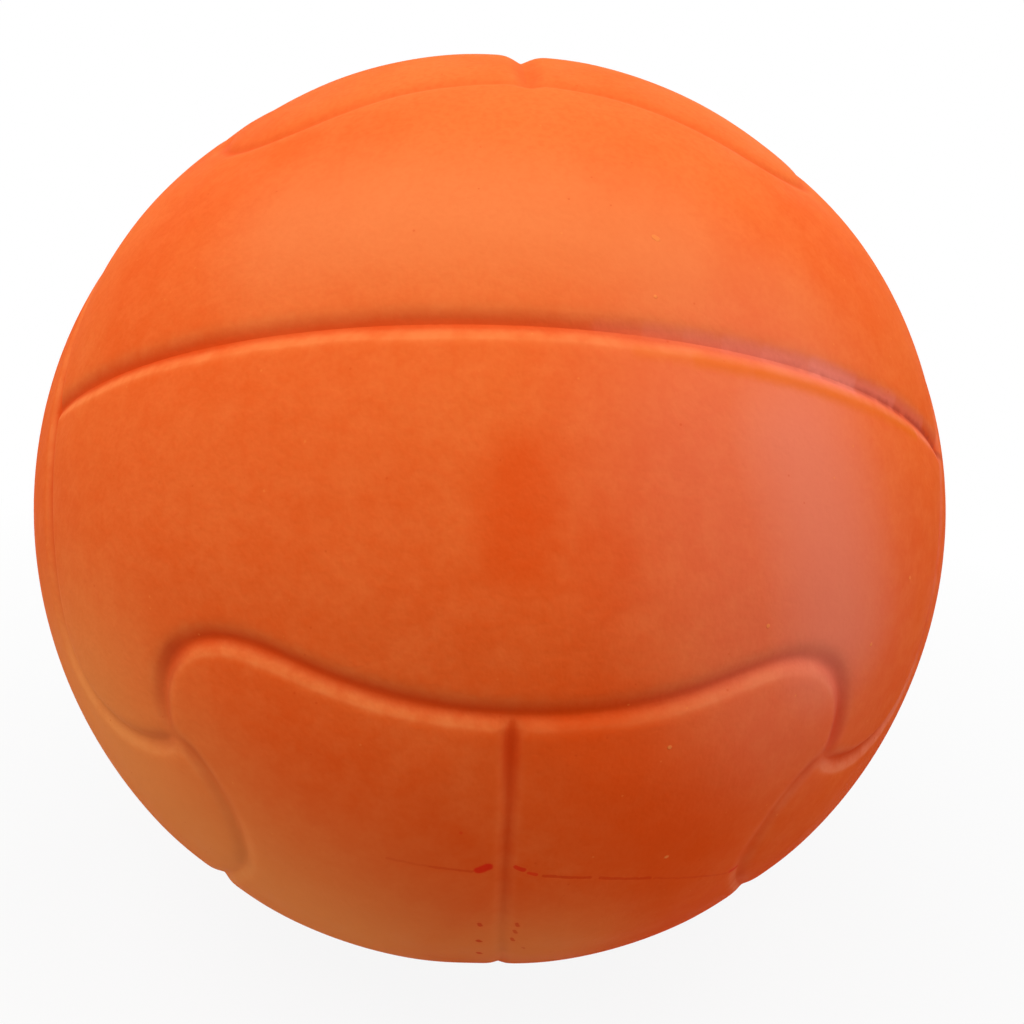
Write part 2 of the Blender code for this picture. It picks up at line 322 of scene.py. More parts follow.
# The studio's lamps: name, degrees round from -Y towards +X, degrees up, size and distance in
# metres, power in watts, and colour
LAMPS = (
    ("key_left", -54.0, 60.0, 0.70, 1.2, 5.8, (1.00, 0.99, 0.97)),
    ("key_right", 60.0, 60.0, 0.70, 1.2, 4.0, (1.00, 0.99, 0.97)),
    ("front_top", 0.0, 60.0, 0.70, 1.2, 6.2, (1.00, 0.99, 0.97)),
    ("window", 76.0, 8.0, 0.40, 1.2, 3.2, (0.80, 0.90, 1.00)),
    ("low_left", -80.0, 5.0, 0.30, 0.8, 1.0, (1.00, 0.98, 0.90)),
    ("back_left", -140.0, 40.0, 0.70, 1.2, 2.4, (1.00, 1.00, 1.00)),
    ("back_right", 140.0, 40.0, 0.70, 1.2, 2.4, (1.00, 1.00, 1.00)),
)

# The floor: half its width in metres, its roughness, and its share of plain white, which goes from
# the third number to the fourth between these two distances from the middle
FLOOR_HALF_WIDTH = 6.0
FLOOR_ROUGHNESS = 0.9
FLOOR_WHITENING = (0.10, 0.45, 0.91, 1.0)

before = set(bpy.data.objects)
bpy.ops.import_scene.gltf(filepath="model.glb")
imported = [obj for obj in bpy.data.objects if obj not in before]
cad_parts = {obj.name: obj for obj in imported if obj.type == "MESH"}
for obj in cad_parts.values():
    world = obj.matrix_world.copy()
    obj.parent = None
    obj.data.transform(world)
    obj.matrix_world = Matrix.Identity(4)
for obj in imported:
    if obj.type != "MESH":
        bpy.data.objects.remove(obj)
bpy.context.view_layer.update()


# The pattern, as in the solids


def direction(swing, rise):
    """The unit vector at these degrees round from +Y towards +X, and up from the XY plane."""
    swing = math.radians(swing)
    rise = math.radians(rise)
    return np.array([math.cos(rise) * math.sin(swing), math.cos(rise) * math.cos(swing), math.sin(rise)])


def unit(vectors):
    """Each vector at a length of 1."""
    return vectors / np.linalg.norm(vectors, axis=-1, keepdims=True)


def on_ball(arcs):
    """Unit vectors for pairs of degrees: along an edge from its tee, and across it."""
    along = np.radians(arcs[..., 0])
    across = np.radians(arcs[..., 1])
    return np.stack(
        [np.sin(along), np.cos(along) * np.cos(across), np.cos(along) * np.sin(across)], axis=-1
    )


def bezier(corners, u):
    """Points of a cubic curve with these four corners."""
    u = np.asarray(u)[:, None]
    v = 1 - u
    return v**3 * corners[0] + 3 * v * v * u * corners[1] + 3 * v * u * u * corners[2] + u**3 * corners[3]


def edge_corners(junction):
    """The two cubic curves of half an edge, from its junction and from its tee to the lobe's top."""
    start = np.degrees([math.asin(junction[0]), math.atan2(junction[2], junction[1])])
    turn = math.radians(LEAVING_TURN)
    leaving = start + LEAVING_PULL * np.array([math.sin(turn), -math.cos(turn)])
    lobe = np.array([LOBE_ALONG, LOBE_ACROSS])
    tee = np.array([0.0, TEE_ANGLE])
    from_junction = (start, leaving, lobe + [LOBE_OUTER_ROUND, 0.0], lobe)
    from_tee = (tee, tee + [TEE_FLATNESS, 0.0], lobe - [LOBE_INNER_ROUND, 0.0], lobe)
    return from_junction, from_tee


def traced(corners, step):
    """Points and tangents of a curve on the ball, about a step apart."""
    u = np.linspace(0.0, 1.0, LENGTH_SAMPLES + 1)
    path = on_ball(bezier(corners, u))
    spans = path[1:] - path[:-1]
    lengths = np.concatenate([[0.0], np.cumsum(np.linalg.norm(spans, axis=1))])
    slopes = np.gradient(path, axis=0, edge_order=2)
    count = math.ceil(lengths[-1] * RADIUS / step)
    stations = np.linspace(0.0, lengths[-1], count + 1)
    points = np.stack([np.interp(stations, lengths, path[:, axis]) for axis in range(3)], axis=1)
    tangents = np.stack([np.interp(stations, lengths, slopes[:, axis]) for axis in range(3)], axis=1)
    return unit(points), unit(tangents)


def groove_lines(step):
    """The middle lines of the grooves in one octant: for each turn a lobe, a run and a bar."""
    junction = direction(JUNCTION_SWING, JUNCTION_RISE)
    lines = []
    for turn in range(3):
        from_junction, from_tee = edge_corners(np.roll(junction, -turn))
        bar = [np.array([0.0, TEE_ANGLE + share * (90.0 - TEE_ANGLE)]) for share in (0, 1 / 3, 2 / 3, 1)]
        for corners in (from_junction, from_tee, bar):
            points, tangents = traced(corners, step)
            lines.append((np.roll(points, turn, axis=1), np.roll(tangents, turn, axis=1)))
    return lines


def distance_to(folded, points):
    """How far each folded direction lies from one line of points, in metres over the ball."""
    span = points[1:] - points[:-1]
    reach = folded[:, None] - points[None, :-1]
    share = np.clip((reach * span).sum(axis=2) / (span * span).sum(axis=1), 0.0, 1.0)
    return np.linalg.norm(reach - share[..., None] * span, axis=2).min(axis=1) * RADIUS


def groove_distances(directions, lines):
    """Each direction's distance to the edge and the bar of every turn, as six columns."""
    batches = []
    for start in range(0, len(directions), DISTANCE_BATCH):
        folded = np.abs(directions[start:start + DISTANCE_BATCH])
        to_lines = [distance_to(folded, points) for points, _ in lines]
        grooves = []
        for lobe, run, bar in zip(to_lines[0::3], to_lines[1::3], to_lines[2::3]):
            grooves += [np.minimum(lobe, run), bar]
        batches.append(np.stack(grooves, axis=1))
    return np.concatenate(batches)


def groove_sink(distance):
    """How deep a groove is at this distance from its middle: sloping sides with rounded lips."""
    run = np.hypot(distance, GROOVE_BOTTOM_ROUNDING) - GROOVE_BOTTOM_ROUNDING
    side = GROOVE_DEPTH - GROOVE_SLOPE * run
    lip = np.maximum(side + GROOVE_LIP_ROUNDING, 0.0) ** 2 / (4.0 * GROOVE_LIP_ROUNDING)
    return np.where(side > GROOVE_LIP_ROUNDING, side, lip)


def blended(deeper, shallower):
    """The greater of two depths, with the corner between them rounded over."""
    overlap = np.maximum(CORNER_ROUNDING - (deeper - shallower), 0.0)
    return deeper + overlap * overlap / (4.0 * CORNER_ROUNDING)


# The skin's fine mesh


def beside(points, sideways, offset):
    """The points on the ball at this distance from others, measured over its surface."""
    angle = offset / RADIUS
    return math.cos(angle) * points + math.sin(angle) * sideways


def corner_points(point, leaving, offset):
    """Points at this distance from both neighbours of every pair of grooves that meet here."""
    first = leaving[0]
    second = np.cross(point, first)
    bearings = sorted(math.atan2(way @ second, way @ first) % math.tau for way in leaving)
    found = []
    for bearing, after in zip(bearings, bearings[1:] + [bearings[0] + math.tau]):
        half = (after - bearing) / 2
        middle = math.cos(bearing + half) * first + math.sin(bearing + half) * second
        found.append(beside(point, middle, offset / math.sin(half)))
    return np.array(found)


def meetings(lines):
    """Where grooves meet in one octant: each place, with the directions that they leave in."""
    lobes = lines[0::3]
    places = [(lobes[0][0][0], [tangents[0] for _, tangents in lobes])]
    for run, bar in zip(lines[1::3], lines[2::3]):
        along = run[1][0]
        places.append((run[0][0], [along, -along, bar[1][0]]))
    return places


def groove_points(lines, fine_lines):
    """Rows of points along the grooves of one octant, the most needed first."""
    offsets = [ROW_STEP * row for row in range(1, ROW_COUNT)] + list(OUTER_ROWS)
    batches = [np.array([place for place, _ in meetings(lines)])]
    batches += [points for points, _ in lines]
    for offset in offsets:
        batches += [corner_points(place, leaving, offset) for place, leaving in meetings(lines)]
        for points, tangents in lines:
            for side in (-1.0, 1.0):
                row = beside(points, side * np.cross(points, tangents), offset)
                clear = groove_distances(row, fine_lines).min(axis=1) > offset - LEAST_SPACING / 4
                batches.append(row[clear])
    return np.concatenate(batches)


def panel_points(fine_lines):
    """A square grid of points over each face of one octant, kept off the grooves."""
    steps = round(math.pi / 4 * RADIUS / PANEL_STEP)
    slopes = np.tan(np.linspace(0.0, math.pi / 4, steps + 1))
    swing, rise = np.meshgrid(slopes, slopes)
    face = unit(np.stack([np.ones(swing.size), swing.ravel(), rise.ravel()], axis=1))
    grid = np.concatenate([np.roll(face, turn, axis=1) for turn in range(3)])
    return grid[groove_distances(grid, fine_lines).min(axis=1) > OUTER_ROWS[-1] + PANEL_STEP / 2]


def in_octant(points):
    """The points of the first octant, put right on its sides where they nearly are."""
    points = points[(points > -ON_PLANE).all(axis=1)]
    points = np.where(np.abs(points) < ON_PLANE, 0.0, points)
    too_near = (points > 0.0) & (points * RADIUS < LEAST_SPACING / 2)
    return unit(points[~too_near.any(axis=1)])


def thinned(points):
    """The points left when each one drops the later ones that lie too near it."""
    tree = kdtree.KDTree(len(points))
    for index, point in enumerate(points):
        tree.insert(point, index)
    tree.balance()
    kept = np.ones(len(points), bool)
    for index, point in enumerate(points):
        if kept[index]:
            near = [other for _, other, _ in tree.find_range(point, LEAST_SPACING / RADIUS)]
            kept[[other for other in near if other > index]] = False
    return points[kept]


def hemisphere():
    """Unit vectors over the half of the pattern above its XY plane, and the triangles on them."""
    lines = groove_lines(COLUMN_STEP)
    fine_lines = groove_lines(FINE_STEP)
    candidates = np.concatenate([groove_points(lines, fine_lines), panel_points(fine_lines)])
    octant = thinned(in_octant(candidates))
    right = np.concatenate([octant, octant[octant[:, 1] > 0.0] * [1, -1, 1]])
    points = np.concatenate([right, right[right[:, 0] > 0.0] * [-1, 1, 1]])
    flat = points[:, :2] / (1.0 + points[:, 2:])
    found = delaunay_2d_cdt([Vector(place) for place in flat], [], [], 0, SAME_POINT)
    _, _, faces, originals, _, _ = found
    triangles = np.array([[originals[index][0] for index in face] for face in faces])
    return points, triangles, groove_distances(points, fine_lines)


def field(places, length, seed):
    """Smooth noise between -1 and 1 at each place, with bumps about this long."""
    shift = Vector((seed, -seed, 2.0 * seed))
    return np.array([noise.noise(Vector(place) / length + shift) for place in places])


def lower_bar_distance(points, distance):
    """The distance to the bar underneath, which leans a little from the pattern's middle."""
    turn = np.degrees(np.arctan2(points[:, 2], points[:, 1]))
    shift = np.interp(turn, LOWER_BAR_TURNS, LOWER_BAR_SHIFTS)
    sideways = points[:, 0] * RADIUS
    beyond = np.maximum(distance * distance - sideways * sideways, 0.0)
    return np.sqrt(beyond + (sideways - shift) ** 2)


def groove_sinks(points, distances, places, side):
    """How deep each of the six grooves is at each point of a cup."""
    wobble = GROOVE_WOBBLE * field(places, WOBBLE_LENGTH, WOBBLE_SEED)
    across = np.abs(distances + wobble[:, None])
    if side < 0.0:
        across[:, MIDDLE_BAR] = lower_bar_distance(points, across[:, MIDDLE_BAR]) * LOWER_BAR_NARROWING
    smaller = [groove for groove in range(across.shape[1]) if side < 0.0 or groove != MIDDLE_BAR]
    across[:, smaller] *= GROOVE_NARROWING
    sinks = groove_sink(across)
    sinks[:, smaller] *= GROOVE_SHARE
    if side < 0.0:
        down = np.clip(points[:, 2], 0.0, 1.0) ** 2
        sinks[:, MIDDLE_BAR] *= 1.0 - (1.0 - LOWER_BAR_DEPTH) * down
        change = (-LOWER_EDGE_CHANGE, LOWER_EDGE_CHANGE)
        sinks[:, PANEL_EDGE] *= np.interp(points[:, 0], change, LOWER_EDGE_DEPTHS)
    else:
        rise = points @ np.array(PATTERN_TO_FRAME)[2, :3]
        sinks[:, EDGES] *= np.interp(rise, HIGH_EDGE_RISE, (1.0, HIGH_EDGE_DEPTH))[:, None]
    return sinks


def skin_radius(points, distances, side):
    """The skin's radius at each point of a cup, and how deep in a groove it lies, from 0 to 1."""
    places = points * [1.0, side, side] * RADIUS
    sinks = np.sort(groove_sinks(points, distances, places, side), axis=1)
    sink = blended(sinks[:, -1], sinks[:, -2])
    junction = direction(JUNCTION_SWING, JUNCTION_RISE)
    to_junction = np.linalg.norm(np.abs(points) - junction, axis=1) * RADIUS
    sink *= 1.0 - (1.0 - JUNCTION_DEPTH) * np.exp(-((to_junction / JUNCTION_FADE) ** 2))
    sink *= 1.0 - DEPTH_VARIATION * (0.5 + 0.5 * field(places, DEPTH_LENGTH, DEPTH_SEED))
    sag = PANEL_SAG * (0.5 + 0.5 * field(places, SAG_LENGTH, SAG_SEED))
    fall = PANEL_CROWN * np.exp(-((distances.min(axis=1) / CROWN_FADE) ** 2))
    return RADIUS - sink - fall - sag, sink / GROOVE_DEPTH


def finished(mesh, name):
    """A bmesh in the pattern's axes as a smooth mesh in the frame's axes."""
    bmesh.ops.transform(mesh, matrix=PATTERN_TO_FRAME, verts=mesh.verts)
    data = bpy.data.meshes.new(name)
    mesh.to_mesh(data)
    mesh.free()
    data.shade_smooth()
    data.set_sharp_from_angle(angle=SHARP_ANGLE)
    return data


def add_inside(mesh, side):
    """The smooth inside of a cup, open at the mould's parting plane."""
    steps = INNER_QUARTER_STEPS
    ball = bmesh.ops.create_uvsphere(
        mesh, u_segments=4 * steps, v_segments=2 * steps, radius=CUP_INNER_RADIUS
    )["verts"]
    beyond = [vert for vert in ball if vert.co.z * side < -ON_PLANE * RADIUS]
    bmesh.ops.delete(mesh, geom=beyond, context="VERTS")
    inner_rim = [vert for vert in ball if vert.is_valid and vert.co.z * side < ON_PLANE * RADIUS]
    for vert in inner_rim:
        vert.co.z = side * PARTING_GAP / 2


def make_cup(name, points, triangles, distances, side):
    """One skin cup as a closed mesh: the fine outside, the smooth inside and the rim between."""
    radius, inside = skin_radius(points, distances, side)
    places = points * [1.0, side, side] * radius[:, None]
    places[points[:, 2] == 0.0, 2] = side * PARTING_GAP / 2
    mesh = bmesh.new()
    depth_layer = mesh.verts.layers.float.new("groove")
    outside = [mesh.verts.new(place) for place in places]
    for vert, share in zip(outside, inside):
        vert[depth_layer] = share
    for triangle in triangles:
        mesh.faces.new([outside[index] for index in triangle])
    add_inside(mesh, side)
    rims = [edge for edge in mesh.edges if edge.is_boundary]
    bmesh.ops.triangle_fill(mesh, edges=rims, use_beauty=True)
    bmesh.ops.recalc_face_normals(mesh, faces=mesh.faces)
    return finished(mesh, name)


# Materials


def add(tree, kind, inputs=None, **settings):
    """A node with these settings, whose inputs are values or other nodes' sockets."""
    node = tree.nodes.new(kind)
    for name, value in settings.items():
        setattr(node, name, value)
    for name, value in (inputs or {}).items():
        if isinstance(value, bpy.types.NodeSocket):
            tree.links.new(value, node.inputs[name])
        else:
            node.inputs[name].default_value = value
    return node


def new_material(name):
    """A new node material, its tree and its one Principled shader."""
    material = bpy.data.materials.new(name)
    material.use_nodes = True
    return material, material.node_tree, material.node_tree.nodes["Principled BSDF"]


def noise_value(tree, coords, length, detail=2.0, roughness=0.5):
    """Noise from 0 to 1 with features about this long, in metres."""
    inputs = {"Vector": coords, "Scale": 1.0 / length, "Detail": detail, "Roughness": roughness}
    return add(tree, "ShaderNodeTexNoise", inputs).outputs["Fac"]


def ramp(tree, value, low, high, to_low=0.0, to_high=1.0, shape="LINEAR"):
    """The value stretched from low..high to a new range, and held at its ends."""
    inputs = {"Value": value, "From Min": low, "From Max": high, "To Min": to_low, "To Max": to_high}
    return add(tree, "ShaderNodeMapRange", inputs, interpolation_type=shape).outputs["Result"]


def math_node(tree, operation, *values):
    """The result of a sum on values or sockets."""
    return add(tree, "ShaderNodeMath", dict(enumerate(values)), operation=operation).outputs[0]


def product(tree, *values):
    """The product of two or more values or sockets."""
    result = values[0]
    for value in values[1:]:
        result = math_node(tree, "MULTIPLY", result, value)
    return result


def vector_node(tree, operation, *values):
    """The vector that a sum on vectors gives."""
    return add(tree, "ShaderNodeVectorMath", dict(enumerate(values)), operation=operation).outputs[0]


def axes_of(tree, vector):
    """The three parts of a vector, by X, Y and Z."""
    return add(tree, "ShaderNodeSeparateXYZ", {"Vector": vector}).outputs


def mixed(tree, factor, first, second):
    """Two colours mixed by a factor."""
    node = add(tree, "ShaderNodeMix", data_type="RGBA")
    colours = [socket for socket in node.inputs if socket.type == "RGBA"]
    for socket, value in ((node.inputs[0], factor), (colours[0], first), (colours[1], second)):
        if isinstance(value, bpy.types.NodeSocket):
            tree.links.new(value, socket)
        else:
            socket.default_value = value
    return [socket for socket in node.outputs if socket.type == "RGBA"][0]


def on_skin(pixel):
    """The point of the ball that shows at this pixel of the photograph, and a pixel's size there."""
    camera = bpy.context.scene.camera
    across = (pixel[0] - BALL_CENTRE_PIXEL[0]) / FOCAL_PIXELS
    up = (BALL_CENTRE_PIXEL[1] - pixel[1]) / FOCAL_PIXELS
    sight = camera.rotation_euler.to_matrix() @ Vector((across, up, -1.0))
    way = sight.normalized()
    back = way.dot(camera.location)
    reach = -back - math.sqrt(back * back - camera.location.length_squared + RADIUS * RADIUS)
    return camera.location + reach * way, reach / sight.length / FOCAL_PIXELS


def stroke(tree, coords, start, end, half_width, edge):
    """1 along a stroke between two pixels of the photograph, fading over these half widths to 0."""
    first, pixel_size = on_skin(start)
    along = on_skin(end)[0] - first
    reach = vector_node(tree, "SUBTRACT", coords, first)
    if along.length > pixel_size:
        inputs = {0: reach, 1: along / along.length_squared}
        share = add(tree, "ShaderNodeVectorMath", inputs, operation="DOT_PRODUCT").outputs["Value"]
        inputs = {0: along, "Scale": ramp(tree, share, 0.0, 1.0)}
        nearest = add(tree, "ShaderNodeVectorMath", inputs, operation="SCALE").outputs[0]
        reach = vector_node(tree, "SUBTRACT", reach, nearest)
    gap = add(tree, "ShaderNodeVectorMath", {0: reach}, operation="LENGTH").outputs["Value"]
    full, none = (part * half_width * pixel_size for part in edge)
    return ramp(tree, gap, none, full, shape="SMOOTHSTEP")


def marks(tree, coords, strokes, edge):
    """The greatest of all these strokes, each with its own strength."""
    found = 0.0
    for start, end, half_width, strength in strokes:
        mask = stroke(tree, coords, start, end, half_width, edge)
        found = math_node(tree, "MAXIMUM", product(tree, mask, strength), found)
    return found


def specks(tree, coords):
    """Tiny pits and tiny pale specks, each in some cells of a loose grid."""
    cells = add(tree, "ShaderNodeTexVoronoi", {"Vector": coords, "Scale": 1.0 / SPECK_SPACING})
    reach = SPECK_RADIUS / SPECK_SPACING
    spot = ramp(tree, cells.outputs["Distance"], reach, SPECK_CORE * reach)
    pits = product(tree, spot, ramp(tree, cells.outputs["Color"], *PIT_CELLS))
    pale = product(tree, spot, ramp(tree, cells.outputs["Color"], *PALE_SPECK_CELLS))
    return pits, pale


def brought_out(tree, coords):
    """The coordinates brought out along the radius to the plain ball, where the marks are placed."""
    inputs = {0: vector_node(tree, "NORMALIZE", coords), "Scale": RADIUS}
    return add(tree, "ShaderNodeVectorMath", inputs, operation="SCALE").outputs[0]


def shifted(tree, coords, length, amount):
    """The coordinates moved a little by noise, so that an edge drawn with them is ragged."""
    inputs = {"Vector": coords, "Scale": 1.0 / length, "Detail": 1.0}
    colour = add(tree, "ShaderNodeTexNoise", inputs).outputs["Color"]
    offset = vector_node(tree, "SUBTRACT", colour, (0.5, 0.5, 0.5))
    return vector_node(tree, "MULTIPLY_ADD", offset, (2.0 * amount,) * 3, coords)


def near_parting(tree, coords):
    """1 where the mould's halves met, and 0 beyond the line's half width."""
    inputs = {0: coords, 1: PATTERN_TO_FRAME.to_3x3() @ Vector((0.0, 0.0, 1.0))}
    off = add(tree, "ShaderNodeVectorMath", inputs, operation="DOT_PRODUCT").outputs["Value"]
    core = PARTING_CORE * PARTING_HALF_WIDTH
    return ramp(tree, math_node(tree, "ABSOLUTE", off), PARTING_HALF_WIDTH, core)


def parting_line(tree, coords, ragged):
    """The rough line that the mould leaves where its halves met, clearest at the front towards +X."""
    place = axes_of(tree, coords)
    to_the_right = ramp(tree, place["X"], *PARTING_TO_THE_RIGHT)
    at_the_front = ramp(tree, place["Y"], *PARTING_AT_THE_FRONT)
    breaks = ramp(tree, noise_value(tree, coords, PARTING_BREAK_LENGTH), *PARTING_BREAKS)
    return product(tree, near_parting(tree, ragged), to_the_right, at_the_front, breaks)


def painted_lip_highlight(tree, coords, groove, patches):
    """A painted highlight on a groove's lip: in patches, and most where the lip faces up towards the
    light.
    """
    normal = add(tree, "ShaderNodeTexCoord").outputs["Normal"]
    tilt = vector_node(tree, "SUBTRACT", normal, vector_node(tree, "NORMALIZE", coords))
    height = axes_of(tree, coords)["Z"]
    return product(
        tree,
        ramp(tree, groove, *LIP_BEGINS),
        ramp(tree, groove, *LIP_ENDS),
        ramp(tree, height, *LIP_NEAR_TOP),
        ramp(tree, height, *LIP_UNDERNEATH),
        ramp(tree, axes_of(tree, tilt)["Z"], *LIP_FACING_UP),
        ramp(tree, patches, *LIP_IN_PATCHES),
    )


def plain_colour(tree, coords, patches):
    """Orange with a painted sheen that makes the top yellower and painted shade that makes it redder
    underneath, with clouds, paler patches and a fine mottling.
    """
    height = axes_of(tree, coords)["Z"]
    # Painted sheen on top, painted shade underneath
    colour = mixed(tree, ramp(tree, height, *UNDER_SHADE_TO_TOP_SHEEN), SKIN_UNDER_SHADE_COLOUR, SKIN_TOP_SHEEN_COLOUR)
    clouds = noise_value(tree, coords, CLOUD_LENGTH)
    colour = mixed(tree, ramp(tree, clouds, *CLOUDS), colour, SKIN_DEEP_COLOUR)
    pale = product(tree, ramp(tree, patches, *PATCHES), ramp(tree, height, *PATCHES_BY_HEIGHT))
    colour = mixed(tree, pale, colour, SKIN_PALE_COLOUR)
    mottle = noise_value(tree, coords, MOTTLE_LENGTH, detail=1.0, roughness=0.6)
    return mixed(tree, ramp(tree, mottle, *MOTTLE), colour, SKIN_DEEP_COLOUR)


def groove_colour(tree, coords, patches, colour):
    """The colour with painted shade that darkens and reddens the grooves, and a painted highlight on
    their lips, pinker towards +X as a painted reflection of cool light.
    """
    groove = add(tree, "ShaderNodeAttribute", attribute_name="groove").outputs["Fac"]
    place = axes_of(tree, coords)
    # Painted shade in the grooves, weaker near the top
    by_height = ramp(tree, place["Z"], *PAINTED_GROOVE_SHADE_BY_HEIGHT)
    shade = product(tree, ramp(tree, groove, *PAINTED_GROOVE_SHADE), by_height)
    colour = mixed(tree, shade, colour, GROOVE_SHADE_AND_PIT_COLOUR)
    # Painted highlight on the lips, pinker towards +X as a painted reflection
    to_the_right = ramp(tree, place["X"], *PINK_TO_THE_RIGHT)
    pink = product(tree, to_the_right, ramp(tree, place["Y"], *PINK_AT_THE_FRONT))
    lip_highlight_colour = mixed(tree, pink, LIP_HIGHLIGHT_COLOUR, PINK_LIP_HIGHLIGHT_COLOUR)
    return mixed(tree, painted_lip_highlight(tree, coords, groove, patches), colour, lip_highlight_colour)


def marked_colour(tree, coords, colour):
    """The colour with the marks that are placed by their pixels in the photograph: painted shade in
    grooves, a painted window reflection and glint, painted bounce light and sheen, soft darker patches, a
    golden lip and the skin's small marks.
    """
    groove = add(tree, "ShaderNodeAttribute", attribute_name="groove").outputs["Fac"]
    # Painted shade along some grooves' walls
    groove_shade = marks(tree, coords, GROOVE_SHADE_MARKS, SOFT_EDGE)
    groove_shade = product(tree, groove_shade, ramp(tree, groove, *GROOVE_SHADE_MARK_DEPTH))
    colour = mixed(tree, groove_shade, colour, GROOVE_SHADE_MARK_COLOUR)
    for strokes, shade, edge in (
        # Painted reflection of a cool window
        (WINDOW_REFLECTION, WINDOW_REFLECTION_COLOUR, SOFT_EDGE),
        # Painted glint of window light in a groove
        (GROOVE_WINDOW_GLINT, GROOVE_GLINT_COLOUR, SOFT_EDGE),
        (GOLD_LIP, GOLD_LIP_COLOUR, SOFT_EDGE),
        # Painted bounce light
        (BOUNCE_LIGHT_PATCHES, BOUNCE_LIGHT_COLOUR, SOFT_EDGE),
        # Painted sheen
        (UPPER_SHEEN_PATCHES, UPPER_SHEEN_COLOUR, SOFT_EDGE),
        (SOFT_DARK_PATCHES, SKIN_DEEP_COLOUR, SOFT_EDGE),
        (FINE_MARKS, FINE_MARK_COLOUR, CRISP_EDGE),
        (RED_MARKS, RED_MARK_COLOUR, CRISP_EDGE),
        (PALE_BUMPS, PALE_BUMP_COLOUR, CRISP_EDGE),
    ):
        colour = mixed(tree, marks(tree, coords, strokes, edge), colour, shade)
    return colour


def skin_colour(tree, coords):
    """The clouded orange skin with its painted light and shade, grooves, marks, specks and parting line.
    """
    patches = noise_value(tree, coords, PATCH_LENGTH, detail=3.0, roughness=0.6)
    colour = plain_colour(tree, coords, patches)
    colour = groove_colour(tree, coords, patches, colour)
    ragged = shifted(tree, coords, RAGGED_LENGTH, RAGGED_STRAY)
    colour = marked_colour(tree, brought_out(tree, ragged), colour)
    pits, pale_specks = specks(tree, coords)
    # Real tiny pits, in the colour of the painted groove shade
    colour = mixed(tree, product(tree, pits, SPECK_STRENGTH), colour, GROOVE_SHADE_AND_PIT_COLOUR)
    colour = mixed(tree, product(tree, pale_specks, SPECK_STRENGTH), colour, PALE_BUMP_COLOUR)
    seam = product(tree, parting_line(tree, coords, ragged), SEAM_STRENGTH)
    return mixed(tree, seam, colour, SEAM_COLOUR)


def skin_height(tree, coords):
    """The skin's fine relief, in millimetres: shallow waves, orange peel, grain and bumps."""
    height = 0.0
    for length, detail, amount in SKIN_RELIEF:
        value = noise_value(tree, coords, length, detail=detail)
        height = math_node(tree, "MULTIPLY_ADD", value, amount, height)
    bumps = marks(tree, brought_out(tree, coords), PALE_BUMPS, CRISP_EDGE)
    return math_node(tree, "MULTIPLY_ADD", bumps, PALE_BUMP_HEIGHT, height)


def skin_material():
    """Satin moulded foam skin."""
    material, tree, shader = new_material("moulded_skin")
    coords = add(tree, "ShaderNodeTexCoord").outputs["Object"]
    tree.links.new(skin_colour(tree, coords), shader.inputs["Base Color"])
    gloss = noise_value(tree, coords, GLOSS_LENGTH, detail=1.0)
    tree.links.new(ramp(tree, gloss, *ROUGHNESS), shader.inputs["Roughness"])
    shader.inputs["Specular IOR Level"].default_value = SPECULAR_LEVEL
    inputs = {"Strength": 1.0, "Distance": MILLIMETRE, "Height": skin_height(tree, coords)}
    bump = add(tree, "ShaderNodeBump", inputs)
    tree.links.new(bump.outputs[0], shader.inputs["Normal"])
    return material


def foam_material():
    """The soft open foam inside, paler than the skin."""
    material, tree, shader = new_material("soft_foam")
    coords = add(tree, "ShaderNodeTexCoord").outputs["Object"]
    inputs = {"Vector": coords, "Scale": FOAM_CELLS_PER_METRE}
    cells = add(tree, "ShaderNodeTexVoronoi", inputs).outputs["Distance"]
    colour = mixed(tree, cells, FOAM_DEEP_COLOUR, FOAM_PALE_COLOUR)
    tree.links.new(colour, shader.inputs["Base Color"])
    shader.inputs["Roughness"].default_value = FOAM_ROUGHNESS
    bump = add(tree, "ShaderNodeBump", {"Strength": 1.0, "Distance": FOAM_CELL_DEPTH, "Height": cells})
    tree.links.new(bump.outputs[0], shader.inputs["Normal"])
    return material


# Pieces


def place_piece(name, data, material, node):
    """Put a mesh in the scene in place of a solid."""
    piece = bpy.data.objects.new(name, data)
    data.materials.append(material)
    bpy.context.collection.objects.link(piece)
    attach(piece, "root")
    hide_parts(node)


def make_skin():
    """Both skin cups."""
    points, triangles, distances = hemisphere()
    material = skin_material()
    for name, node, side in (
        ("upper_skin", "skin_upper_half", 1.0),
        ("lower_skin", "skin_lower_half", -1.0),
    ):
        data = make_cup(name, points, triangles, distances, side)
        place_piece(name, data, material, node)


def make_filling():
    """The foam filling: a ball whose surface is a little uneven."""
    mesh = bmesh.new()
    bmesh.ops.create_icosphere(mesh, subdivisions=FOAM_SUBDIVISIONS, radius=FOAM_RADIUS)
    for vert in mesh.verts:
        vert.co *= 1.0 - FOAM_UNEVENNESS * (0.5 + 0.5 * noise.noise(vert.co / FOAM_DIP_LENGTH))
    place_piece("foam_filling", finished(mesh, "foam_filling"), foam_material(), "foam_core")


# Camera, floor and lights


def towards(azimuth, elevation):
    """The unit vector at these angles: round from -Y towards +X, and up."""
    return Vector((
        math.sin(azimuth) * math.cos(elevation),
        -math.cos(azimuth) * math.cos(elevation),
        math.sin(elevation),
    ))


def seen_as_background(tree):
    """1 for the rays that show the background, and 0 for those that light the object."""
    path = add(tree, "ShaderNodeLightPath")
    seen = path.outputs["Is Camera Ray"]
    for name in ("Is Glossy Ray", "Is Transmission Ray"):
        seen = math_node(tree, "MAXIMUM", seen, path.outputs[name])
    return seen


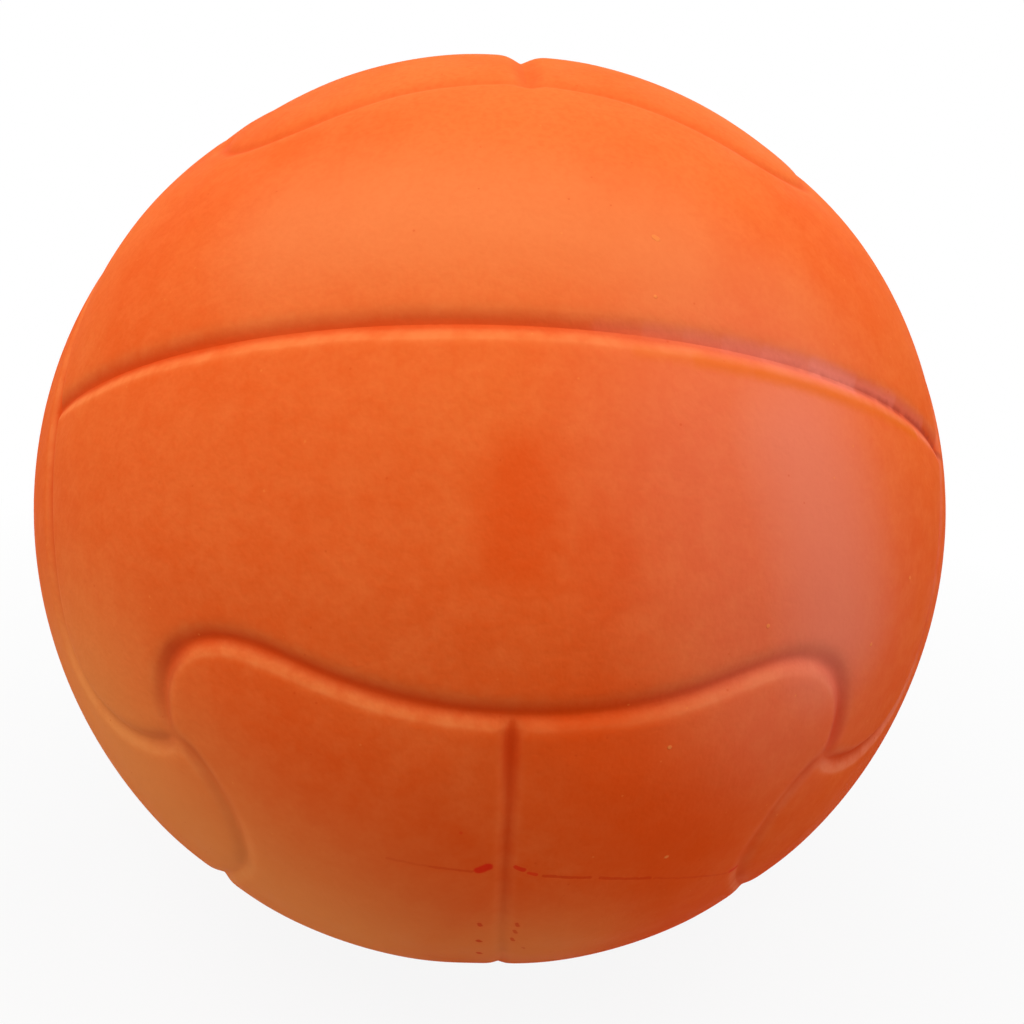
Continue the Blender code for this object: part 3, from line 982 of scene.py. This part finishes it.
def make_camera():
    """The photograph's camera, aimed at the ball's centre and shifted to where the ball sits."""
    camera = bpy.data.objects.new("camera", bpy.data.cameras.new("camera"))
    bpy.context.collection.objects.link(camera)
    back = towards(CAMERA_AZIMUTH, CAMERA_ELEVATION)
    level = (-back).to_track_quat("-Z", "Y").to_matrix()
    camera.location = back * CAMERA_DISTANCE
    camera.rotation_euler = (level @ Matrix.Rotation(CAMERA_ROLL, 3, "Z")).to_euler()
    camera.data.sensor_width = SENSOR_MM
    camera.data.lens = SENSOR_MM * FOCAL_PIXELS / FRAME_PIXELS
    camera.data.shift_x = (FRAME_PIXELS / 2 - BALL_CENTRE_PIXEL[0]) / FRAME_PIXELS
    camera.data.shift_y = (BALL_CENTRE_PIXEL[1] - FRAME_PIXELS / 2) / FRAME_PIXELS
    camera.data.clip_start = CLIP_START
    bpy.context.scene.camera = camera


def make_floor():
    """A pale floor under the ball that keeps its shadow and turns white further off."""
    mesh = bmesh.new()
    bmesh.ops.create_grid(mesh, x_segments=1, y_segments=1, size=FLOOR_HALF_WIDTH)
    data = bpy.data.meshes.new("floor")
    mesh.to_mesh(data)
    mesh.free()
    floor = bpy.data.objects.new("floor", data)
    floor.location.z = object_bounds()[0].z
    bpy.context.collection.objects.link(floor)
    material, tree, shader = new_material("pale_floor")
    shader.inputs["Base Color"].default_value = FLOOR_COLOUR
    shader.inputs["Roughness"].default_value = FLOOR_ROUGHNESS
    coords = add(tree, "ShaderNodeTexCoord").outputs["Object"]
    away = add(tree, "ShaderNodeVectorMath", {0: coords}, operation="LENGTH").outputs["Value"]
    share = product(tree, ramp(tree, away, *FLOOR_WHITENING), seen_as_background(tree))
    white = add(tree, "ShaderNodeEmission", {"Color": WHITE, "Strength": 1.0})
    both = add(tree, "ShaderNodeMixShader", {0: share, 1: shader.outputs[0], 2: white.outputs[0]})
    tree.links.new(both.outputs[0], tree.nodes["Material Output"].inputs["Surface"])
    data.materials.append(material)


def make_world():
    """A white surround for the camera and for gloss, and a soft grey one for the light."""
    world = bpy.data.worlds.new("studio")
    bpy.context.scene.world = world
    world.use_nodes = True
    tree = world.node_tree
    colour = mixed(tree, seen_as_background(tree), SURROUND_LIGHT, WHITE)
    background = tree.nodes["Background"]
    tree.links.new(colour, background.inputs["Color"])


def make_lamps():
    """Soft square studio lamps, all aimed at the ball."""
    for name, azimuth, elevation, size, distance, power, colour in LAMPS:
        lamp = bpy.data.objects.new(name, bpy.data.lights.new(name, "AREA"))
        lamp.data.shape = "SQUARE"
        lamp.data.size = size
        lamp.data.energy = power
        lamp.data.color = colour
        lamp.location = distance * towards(math.radians(azimuth), math.radians(elevation))
        lamp.rotation_euler = (-lamp.location).to_track_quat("-Z", "Y").to_euler()
        bpy.context.collection.objects.link(lamp)


make_camera()
make_skin()
make_filling()
make_floor()
make_world()
make_lamps()
bpy.context.scene.view_settings.view_transform = "Standard"
